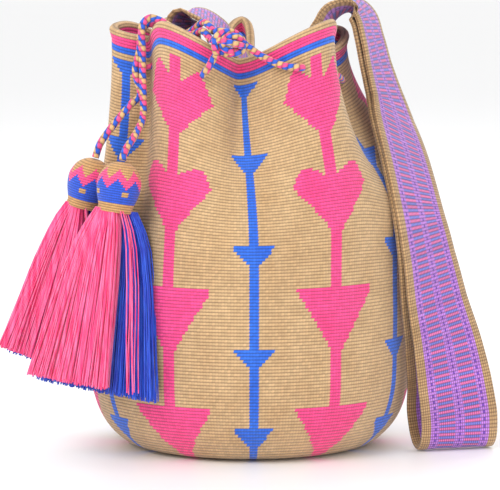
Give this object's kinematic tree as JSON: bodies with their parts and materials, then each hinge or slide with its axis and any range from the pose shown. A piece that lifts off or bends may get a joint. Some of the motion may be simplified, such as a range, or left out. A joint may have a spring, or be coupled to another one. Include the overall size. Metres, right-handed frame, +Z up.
{
  "type": "crocheted drawstring shoulder bag",
  "caption": "Round crocheted drawstring shoulder bag with gathered mouth, woven strap folded over the mouth and tassels swinging from the drawstring's tails.",
  "frame": {"origin": "centre of the flat round base, on the floor", "axes": "+Z up from the base, -Y towards the front valley with the knot of the drawstring, +X towards the side where the strap hangs down"},
  "size_m": [0.3359, 0.2269, 0.3036],
  "materials": {
    "crochet_camel_pattern": "matt",
    "strap_lilac_weave": "matt",
    "drawstring_braid": "matt",
    "sewing_thread": "matt",
    "tassel_pink_yarn": "matt",
    "tassel_blue_yarn": "matt"
  },
  "bodies": {
    "bag": {"bag_body": "crochet_camel_pattern", "strap": "strap_lilac_weave", "left_strap_stitching": "sewing_thread", "right_strap_stitching": "sewing_thread", "drawstring": "drawstring_braid", "drawstring_knot": "drawstring_braid", "rear_tail_cord": "drawstring_braid", "front_tail_cord": "drawstring_braid"},
    "rear_tassel": {"rear_tassel_cord": "drawstring_braid", "rear_tassel_head": "crochet_camel_pattern", "rear_tassel_pink_threads": "tassel_pink_yarn", "rear_tassel_blue_threads": "tassel_blue_yarn"},
    "front_tassel": {"front_tassel_cord": "drawstring_braid", "front_tassel_head": "crochet_camel_pattern", "front_tassel_pink_threads": "tassel_pink_yarn", "front_tassel_blue_threads": "tassel_blue_yarn"}
  },
  "joints": [
    {"name": "rear_tassel_swing", "type": "hinge", "parent": "bag", "child": "rear_tassel", "pos_m": [-0.0725, -0.047, 0.241], "axis": [0.4108, 0.9117, 0], "range_deg": [0, 30]},
    {"name": "front_tassel_swing", "type": "hinge", "parent": "bag", "child": "front_tassel", "pos_m": [-0.0705, -0.0555, 0.228], "axis": [-0.9117, 0.4108, 0], "range_deg": [0, 40]}
  ]
}
